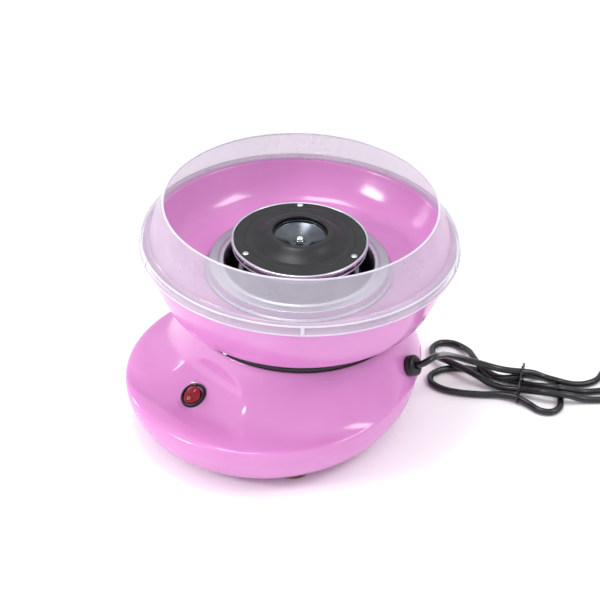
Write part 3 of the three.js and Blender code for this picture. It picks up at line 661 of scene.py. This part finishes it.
# %% The base shell
STEPS, ROW_GAP = 400, 10
CROWDING, LOBE_SHARPNESS = 0.42, 2.1
rows = [(100, ROW_GAP * i) for i in range(row_count)]
ring_up(rows, STEPS, SPIN)
bpy.ops.mesh.select_all(action="DESELECT")
bpy.ops.mesh.select_mode(type="EDGE")
bpy.ops.mesh.select_non_manifold()
bpy.ops.mesh.bridge_edge_loops()
bpy.ops.object.mode_set(mode="OBJECT")
shell = bpy.context.object
outer_rows = len(back_profile) - LINING_ROWS
for vertex in shell.data.vertices:
    row = round(vertex.co.z / (ROW_GAP * MM))
    turn = math.atan2(vertex.co.x - SPIN.x, -(vertex.co.y - SPIN.y))
    turn -= CROWDING * math.sin(turn)
    lobe = ((1 + math.cos(turn)) / 2) ** LOBE_SHARPNESS
    point = back_profile[row].lerp(front_profile[row], lobe)
    place = Vector((point.x * math.sin(turn), -point.x * math.cos(turn), point.y))
    place = pressed(place, 0 if row < outer_rows else WALL)
    vertex.co = (place + SPIN / MM) * MM
bpy.ops.object.mode_set(mode="EDIT")
bpy.ops.mesh.select_all(action="SELECT")
bpy.ops.mesh.normals_make_consistent(inside=False)
bpy.ops.object.mode_set(mode="OBJECT")
finish_piece(shell, "base_housing", 60)
dress(shell, pink_abs)
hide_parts("base_shell")
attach(shell, "base")

# %% [markdown]
# The bowl is turned: an inner basin and an outer skirt in one skin, joined over a rounded rim. It has
# no bottom between them, so it lifts off over the collar.

# %% Bowl
SKIRT_FOOT_R, SKIRT_SPREAD = 108.8, 24.2
SKIRT_Z, SKIRT_HEIGHT = 114, 54
BOWL_WALL = 2.4


def skirt_radius(t):
    return SKIRT_FOOT_R + SKIRT_SPREAD * t ** 0.62


outside = [(skirt_radius(t), SKIRT_Z + SKIRT_HEIGHT * t) for t in [k / 26 for k in range(1, 27)]]
inside = [(skirt_radius(t) - BOWL_WALL, SKIRT_Z + SKIRT_HEIGHT * t)
          for t in [1 - k / 12 for k in range(0, 12)]]
basin = [(127.4, 171.8, 1.2), (125.2, 167, 2), (121, 159, 6), (116.4, 151.6, 6), (110.6, 145.2, 6),
         (104, 141.4, 5), (96, 140.2, 4), (82.4, 139.2, 0.4), (80.9, 139.5, 0.5), (80.7, 137.8, 0.4),
         (96, 138.4, 3), (104, 139.2, 4), (112, 143.6, 5), (118, 149.8, 5), (123.4, 158.6, 4),
         (128.4, 168.6, 1)]
profile = [(110.6, 115.3, 0.4)] + outside[1:-1] + [(133, 168), (133, 171.8, 1.2)] + basin + inside + \
          [(108.0, 115.3, 0.4)]
bowl = turned("floss_bowl", softened(profile, 0.5, 4), 192, smooth=50)
dress(bowl, pink_abs)
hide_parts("bowl")
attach(bowl, "bowl")

# %% [markdown]
# A pale lug on the skirt's lower edge shows which way round the bowl goes. It is a small block with
# well-rounded edges.

# %% Lug
start_clean()
bpy.ops.mesh.primitive_cube_add(size=1, location=(0, 0, 0))
lug = bpy.context.object
lug_turn = math.radians(-73.5)
LUG_RADIUS, LUG_Z = 0.1045, 0.1133
lug.scale = (0.006, 0.0042, 0.0055)
lug.rotation_euler = (0, 0, lug_turn)
lug.location = SPIN + Vector((LUG_RADIUS * math.cos(lug_turn), LUG_RADIUS * math.sin(lug_turn), LUG_Z))
edge = lug.modifiers.new("round", "BEVEL")
edge.width = 0.0012
edge.segments = 3
finish_piece(lug, "bowl_lug", 40)
dress(lug, natural_nylon)
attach(lug, "bowl")

# %% [markdown]
# The guard is blown or pressed polycarbonate under two millimetres thick. It sits over the bowl's rim
# with a flange and a short outer skirt, and its wall leans inward.

# %% Guard
guard_profile = softened([
    (127.2, 172.8, 0.5), (133.9, 172.6, 1.0), (135.1, 165.9, 0.5), (136.6, 165.9, 0.5), (135.3, 173.4, 1.2),
    (133.6, 174.1, 0.8), (130.0, 174.1, 0.9), (128.7, 175.4, 1.0), (123.2, 191.4, 4), (116.6, 206.4, 0.6),
    (114.9, 206.4, 0.6), (121.4, 191.2, 4), (126.8, 175.0, 0.8)], 0.6, 5)
guard = turned("clear_guard", guard_profile, 192, smooth=50)

# %% [markdown]
# Five little ribs stiffen the guard's skirt. They are blocks with rounded edges. A turned bead follows
# each edge where light gathers. Ribs and beads wear the paler plastic of the painted highlight.

# %% Ribs and edges of the guard
RIB_RADIUS, RIB_Z = 0.1359, 0.1700
start_clean()
for angle in (322, 34, 106, 178, 250):
    turn = math.radians(angle)
    bpy.ops.mesh.primitive_cube_add(size=1, location=(0, 0, 0))
    rib = bpy.context.object
    rib.scale = (0.0012, 0.0032, 0.0072)
    rib.rotation_euler = (0, math.radians(-10), turn)
    rib.location = SPIN + Vector((RIB_RADIUS * math.cos(turn), RIB_RADIUS * math.sin(turn), RIB_Z))
    bpy.ops.object.transform_apply(location=True, rotation=True, scale=True)
    edge = rib.modifiers.new("round", "BEVEL")
    edge.width = 0.0005
    edge.segments = 3
    finish_piece(rib, f"guard_rib_{angle}", 40)
    dress(rib, pc_painted_edge_highlight)
    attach(rib, "guard")
BEAD = [(-1, -0.6), (-0.5, -1), (0.5, -1), (1, -0.5), (1, 0.4), (0.4, 1), (-0.5, 1), (-1, 0.5)]
# Each bead wears the paler plastic, a painted highlight along the guard's edge.
for name, radius, z, thick in (("guard_top_edge", 115.8, 206.0, 0.9),
                               ("guard_skirt_edge", 135.9, 166.3, 0.85),
                               ("guard_corner", 134.5, 173.5, 0.8)):
    bead = turned(name, softened([(radius + u * thick, z + v * thick) for u, v in BEAD], 0.3, 2),
                  192, smooth=60)
    dress(bead, pc_painted_edge_highlight)
    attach(bead, "guard")
dress(guard, clear_pc)
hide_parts("splash_guard")
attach(guard, "guard")

# %% [markdown]
# Between bowl and base stands a collar; its black paints the shade in the gap between them. The pan round the
# heater is spun aluminium with a beaded lip.

# %% Collar and pan
collar = turned("neck_ring", softened([
    (84.2, 91, 0.4), (91, 91, 0.5), (91, 99, 0.6), (90.2, 100.4, 0.6), (90.2, 110, 0.5), (91, 111, 0.5),
    (91, 130, 1), (88, 137.6, 1), (76.2, 137.6, 0.3), (76.2, 135.2, 0.3), (86, 134, 0.8), (88.2, 128, 1),
    (88.2, 96, 0.5), (84.2, 94, 0.4)], 0.5, 3), 144)
# The collar is a real support ring, and its black colour is painted shade for the gap under the bowl.
dress(collar, black_nylon)
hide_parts("neck_collar")
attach(collar, "base")
pan = turned("heat_pan", softened([
    (8, 122, 0.3), (49, 122, 3), (58, 125, 3), (63.6, 143, 1.5), (67.8, 146.5, 1), (75.6, 146.3, 1),
    (76.5, 139.7, 0.6), (80.4, 139.1, 0.3), (80.4, 140.2, 0.3), (77.7, 140.8, 0.8), (77.4, 147.4, 0.9),
    (70, 147.8, 1), (67.6, 148.9, 0.9), (64.6, 148.9, 1.2), (62.6, 143.6, 1.2), (57, 126.4, 3),
    (48.6, 123.2, 3), (9.2, 123.2, 0.6), (9.2, 139.8, 0.3), (8, 139.8, 0.3)], 0.5, 4), 144)
# The pan wears the aluminium with painted shade inside its well.
dress(pan, aluminium_well_shade)
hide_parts("heater_pan")
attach(pan, "base")

# %% [markdown]
# The head is a sandwich: a black cover over a bright rolled plate, a gap with a perforated band where
# the sugar leaves, and a lower plate, held by three rivets. A steel funnel takes the sugar, and a
# domed nut clamps everything to the hub. The cover comes first.

# %% Head cover
cover = turned("head_cap", softened([
    (37, 168.7, 0.3), (55.9, 168.7, 0.3), (55.9, 170.2, 0.7), (48.2, 170.3, 0.2), (47.8, 169.95, 0.2),
    (47.2, 169.95, 0.2), (46.8, 170.3, 0.2), (40.8, 170.4, 0.5), (34.8, 173.4, 3), (29.8, 176.9, 2),
    (27.4, 178.15, 0.8), (26.0, 178.2, 0.5), (23.6, 178.1, 0.7), (22.9, 176.8, 0.6), (23, 175.2, 0.3),
    (25.6, 175.8, 0.8), (28.6, 173.6, 1.5), (33, 171, 1.5)], 0.4, 4), 144, smooth=40)
dress(cover, black_nylon)
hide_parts("head_cover")

# %% [markdown]
# Both plates are rolled over at the rim. The band stands between them, and the funnel sits in the
# cover's middle.

# %% Head plates, band and funnel
upper = turned("head_top_plate", softened([
    (24, 167.2, 0.3), (57.6, 167.2, 0.8), (58.7, 168.2, 0.8), (58.7, 170.0, 0.7), (57.6, 170.6, 0.5),
    (56.4, 170.2, 0.4), (56.3, 168.4, 0.2), (24, 168.4, 0.3)], 0.4, 4), 144)
lower = turned("head_bottom_plate", softened([
    (7.6, 160, 0.3), (40, 160, 2), (56.2, 161.2, 0.8), (57.4, 162.1, 0.8), (57.4, 163.6, 0.4),
    (56.5, 163.6, 0.4), (56.2, 162.6, 0.5), (40, 161.2, 2), (7.6, 161.2, 0.3)], 0.4, 4), 144)
for obj, node in ((upper, "head_upper_plate"), (lower, "head_lower_plate")):
    dress(obj, aluminium)
    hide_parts(node)
band = turned("sugar_screen", softened([
    (48.4, 162.1), (49.2, 162.1), (49.2, 166.9), (48.4, 166.9)], 0.15, 2), 144)
dress(band, perforated)
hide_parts("mesh_band")
cup = turned("sugar_funnel", softened([
    (4.6, 165.7, 0.2), (8.8, 165.7, 0.8), (22.5, 171.7, 0.4), (22.5, 174.6, 0.3), (21.7, 174.6, 0.3),
    (21.7, 172.3, 0.5), (8.6, 166.6, 1.5), (4.6, 166.6, 0.2)], 0.4, 4), 96)
dress(cup, satin_steel)
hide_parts("sugar_cup")
for obj in (cover, upper, lower, band, cup):
    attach(obj, "head")

# %% [markdown]
# Rivets are the same little mushroom three times, each with its own mesh.

# %% Rivets
RIVET_RADIUS = 0.0525
for index, angle in enumerate((21, 141, 261), 1):
    turn = math.radians(angle)
    spot = SPIN + Vector((RIVET_RADIUS * math.cos(turn), RIVET_RADIUS * math.sin(turn), 0))
    rivet = turned(f"rivet_{index}", softened([
        (0.05, 158.4), (2.2, 158.5, 0.5), (2.8, 159.2, 0.5), (2.8, 160.2, 0.2), (1.6, 160.6, 0.2),
        (1.6, 170.5, 0.2), (2.9, 170.5, 0.3), (2.6, 171.2, 0.5), (1.5, 171.7, 0.5), (0.05, 171.8)],
        0.3, 3, closed=False), 32, closed=False, centre=spot)
    dress(rivet, aluminium)
    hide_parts(f"head_rivet_{index}")
    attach(rivet, "head")

# %% [markdown]
# The nut is turned with its dome, and its lower part is then drawn in to six flats.

# %% Nut
FLAT_DISTANCE, FLATS_BELOW = 0.00355, 0.1690
nut = turned("dome_nut", softened([
    (2.5, 166.9, 0.1), (3.7, 166.9, 0.3), (4.1, 167.3, 0.3), (4.1, 168.9, 0.3), (3.6, 169.3, 0.2),
    (3.5, 170.3, 0.8), (2.4, 171.7, 0.8), (0.05, 172.3)], 0.3, 3, closed=False), 48, closed=False)
start_clean()
for vertex in nut.data.vertices:
    arm = Vector((vertex.co.x - SPIN.x, vertex.co.y - SPIN.y, 0))
    if vertex.co.z < FLATS_BELOW and arm.length > 0.0036:
        flat = math.cos(math.atan2(arm.y, arm.x) % (math.pi / 3) - math.pi / 6)
        arm *= min(1.0, FLAT_DISTANCE / flat / arm.length)
        vertex.co.x, vertex.co.y = SPIN.x + arm.x, SPIN.y + arm.y
dress(nut, bright_steel)
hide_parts("cap_nut")
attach(nut, "head")

# %% [markdown]
# The switch is a bought part: a round black bezel that snaps into the dish and a red rocker with the
# usual line and ring. It is built upright at the origin and then turned to the dish's slope.

# %% Switch bezel
switch_turn = Matrix.Translation((SWITCH + SPIN / MM) * MM) @ Matrix.Rotation(SWITCH_TILT, 4, "X")
bezel = turned("switch_bezel", softened([
    (0.05, -22), (8, -22, 0.6), (9.9, -20, 0.5), (9.9, 1.5, 0.2), (11.8, 1.5, 0.2), (11.75, 2.4, 0.5),
    (10.9, 3.7, 0.8), (10, 4, 0.4), (9.2, 3.4, 0.5), (9.1, -6, 0.3), (0.05, -6)], 0.3, 4, closed=False),
    72, closed=False, centre=Vector((0, 0, 0)))
bezel.data.transform(switch_turn)
dress(bezel, black_nylon)
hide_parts("switch_body")
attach(bezel, "base")

# %% [markdown]
# The rocker starts as a cylinder, cut across its middle so that its face can rise to both ends. The off
# side is down, so it leans by eight degrees.

# %% Rocker
KEY_RADIUS, KEY_FACE, KEY_RISE = 0.0081, 0.0034, 0.0012


def on_key(y):
    """The height of the key's face, which rises away from its middle."""
    return KEY_FACE + KEY_RISE * abs(y) / KEY_RADIUS


start_clean()
bpy.ops.mesh.primitive_cylinder_add(vertices=64, radius=KEY_RADIUS, depth=0.0064,
                                    location=(0, 0, 0.0008))
rocker = bpy.context.object
bpy.ops.object.transform_apply(location=True)
bpy.ops.object.mode_set(mode="EDIT")
bpy.ops.mesh.select_all(action="SELECT")
bpy.ops.mesh.bisect(plane_co=(0, 0, 0), plane_no=(0, 1, 0), clear_inner=False, clear_outer=False)
bpy.ops.object.mode_set(mode="OBJECT")
for vertex in rocker.data.vertices:
    if vertex.co.z > 0:
        vertex.co.z = on_key(vertex.co.y)
edge = rocker.modifiers.new("round", "BEVEL")
edge.width = 0.0005
edge.segments = 3
edge.limit_method = "ANGLE"
edge.angle_limit = math.radians(50)
finish_piece(rocker, "switch_key", 30)
key_turn = switch_turn @ Matrix.Rotation(math.radians(8), 4, "X")
rocker.data.transform(key_turn)
dress(rocker, red_pc)
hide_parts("rocker")
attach(rocker, "switch_rocker")

# %% [markdown]
# The marks lie on the rocker's face: a ring on the off side and a line on the other.

# %% Switch marks
MARK_Y = 0.0042
start_clean()
bpy.ops.mesh.primitive_torus_add(major_segments=40, minor_segments=6, major_radius=0.0013,
                                 minor_radius=0.0002, location=(0, -MARK_Y, on_key(MARK_Y) + 0.0001))
mark_off = bpy.context.object
finish_piece(mark_off, "mark_off", 60)
start_clean()
bpy.ops.mesh.primitive_cube_add(size=1, location=(0, MARK_Y, on_key(MARK_Y) + 0.0001))
mark_on = bpy.context.object
mark_on.scale = (0.0004, 0.0028, 0.0004)
edge = mark_on.modifiers.new("round", "BEVEL")
edge.width = 0.00012
edge.segments = 2
finish_piece(mark_on, "mark_on", 60)
for mark in (mark_off, mark_on):
    mark.data.transform(key_turn)
    dress(mark, white_ink)
    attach(mark, "switch_rocker")

# %% [markdown]
# The gland is a ribbed black bush, square to the side of the base. It is turned upright and then laid
# into place, as the switch was.

# %% Gland
gland_turn = (Matrix.Translation(SPIN) @ Matrix.Rotation(math.radians(GLAND_ANGLE), 4, "Z")
              @ Matrix.Translation(Vector((GLAND_RADIUS, 0, GLAND_Z)) * MM)
              @ Matrix.Rotation(math.radians(90 - GLAND_TILT), 4, "Y"))
gland = turned("lead_bush", softened([
    (3.05, -11.5, 0.2), (5.6, -11.5, 0.5), (5.6, 0.3, 0.2), (9.3, 0.3, 0.8), (9.3, 3.2, 0.4),
    (8.8, 3.6, 0.3), (8.8, 4.2, 0.3), (9.3, 4.6, 0.4), (9.2, 7.0, 1.2), (8.0, 8.2, 1.0),
    (5.2, 8.7, 0.8), (4.2, 8.2, 0.6), (3.05, 7.4, 0.5)], 0.4, 4), 64, centre=Vector((0, 0, 0)))
gland.data.transform(gland_turn)
dress(gland, black_nylon)
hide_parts("cord_gland")
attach(gland, "base")

# %% [markdown]
# Four rubber feet, turned round the middles that the frame gives.

# %% Feet
for name in ("foot_front_right", "foot_front_left", "foot_rear_right", "foot_rear_left"):
    low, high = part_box(name)
    middle = Vector(((low[0] + high[0]) / 2, (low[1] + high[1]) / 2, 0))
    foot = turned(name.replace("foot", "rubber_foot"), softened([
        (0.05, 0.0), (12.5, 0.0, 0.6), (13.2, 0.5, 0.4), (14.6, 0.05, 0.4), (15.6, 0.2, 0.5), (17, 2.2, 0.8),
        (16.8, 3.7, 0.4), (0.05, 3.7)], 0.4, 3, closed=False), 64, closed=False, centre=middle)
    dress(foot, rubber)
    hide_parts(name)
    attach(foot, "base")

# %% [markdown]
# What is inside or underneath keeps its CAD shape and gets its material.

# %% Materials of the carried-over parts
inner = {
    pink_abs: ["bottom_plate"],
    zinc_steel: ["plate_screw_1", "plate_screw_2", "plate_screw_3", "plate_screw_4", "heating_element",
                 "heater_strap_1", "heater_strap_2", "heater_strap_3", "motor_plate", "motor_can", "armature",
                 "spindle", "drive_pin", "head_hub"],
    black_nylon: ["motor_end_cap", "cooling_fan", "gland_nut"],
    rubber: ["motor_damper_1", "motor_damper_2", "motor_damper_3"],
    brass: ["bearing_top", "bearing_bottom"],
    ceramic: ["ceramic_post_1", "ceramic_post_2", "ceramic_post_3", "thermal_cutout", "terminal_block"],
    pvc_black: ["supply_lead"],
    sleeves["wire_sleeve_blue"]: ["motor_lead"],
    sleeves["wire_sleeve_brown"]: ["switch_lead"],
}
for material, names in inner.items():
    for name in names:
        dress(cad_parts[name], material)
print("dressed", sum(len(names) for names in inner.values()), "carried-over parts")

# %% [markdown]
# The machine stands on a white table, which is stage and not part of it.

# %% Floor
start_clean()
bpy.ops.mesh.primitive_plane_add(size=38, location=(0, 0, -0.0002))
floor = bpy.context.object
finish_piece(floor, "floor", 30)
table_top, tree, shader, place = new_material("paint_white_matt", "fcfcfd", 0.9)
mottle(tree, place, shader, "fbfafc", "fdfdfe", 2.0)
dress(floor, table_top)

# %% [markdown]
# The light is soft, as in a studio: a soft box high on the right for the bowl, one low in front for the
# base and its dish, one overhead for the sparkle, and a tall one at the left for the long highlight.

# %% Lights
def soft_box(name, place, aim, size, power, colour=(1, 1, 1)):
    light = bpy.data.lights.new(name, "AREA")
    light.shape = "RECTANGLE"
    light.size, light.size_y = size
    light.energy = power
    light.color = colour
    obj = bpy.data.objects.new(name, light)
    obj.location = place
    obj.rotation_euler = (Vector(aim) - Vector(place)).to_track_quat("-Z", "Y").to_euler()
    bpy.context.scene.collection.objects.link(obj)


soft_box("key", (1.0, 0.75, 1.5), (0, 0, 0.1), (0.7, 0.45), 9)
soft_box("front", (-0.35, -1.5, 1.0), (0, -0.08, 0.06), (0.5, 0.3), 12)
soft_box("top", (-0.2, -0.2, 1.8), (0, 0, 0.1), (0.5, 0.5), 8)
soft_box("left", (-1.35, -0.75, 0.45), (0, -0.05, 0.06), (0.2, 0.6), 4)

# %% [markdown]
# A bright sky all round, a little darker near the ground, gives the gloss something to reflect.

# %% Sky
world = bpy.data.worlds.new("studio")
world.use_nodes = True
sky = world.node_tree.nodes["Background"]
dome = add(world.node_tree, "ShaderNodeTexCoord")
rise = add(world.node_tree, "ShaderNodeSeparateXYZ", links={0: dome.outputs["Generated"]})
shade = add(world.node_tree, "ShaderNodeValToRGB", links={"Fac": rise.outputs["Z"]})
shade.color_ramp.elements[0].color = (0.62, 0.62, 0.65, 1)
shade.color_ramp.elements[1].color = (1, 1, 1, 1)
shade.color_ramp.elements[1].position = 0.75
world.node_tree.links.new(shade.outputs["Color"], sky.inputs["Color"])
sky.inputs["Strength"].default_value = 1.06
bpy.context.scene.world = world
bpy.context.scene.view_settings.view_transform = "Standard"
print("sky strength", round(sky.inputs["Strength"].default_value, 2))
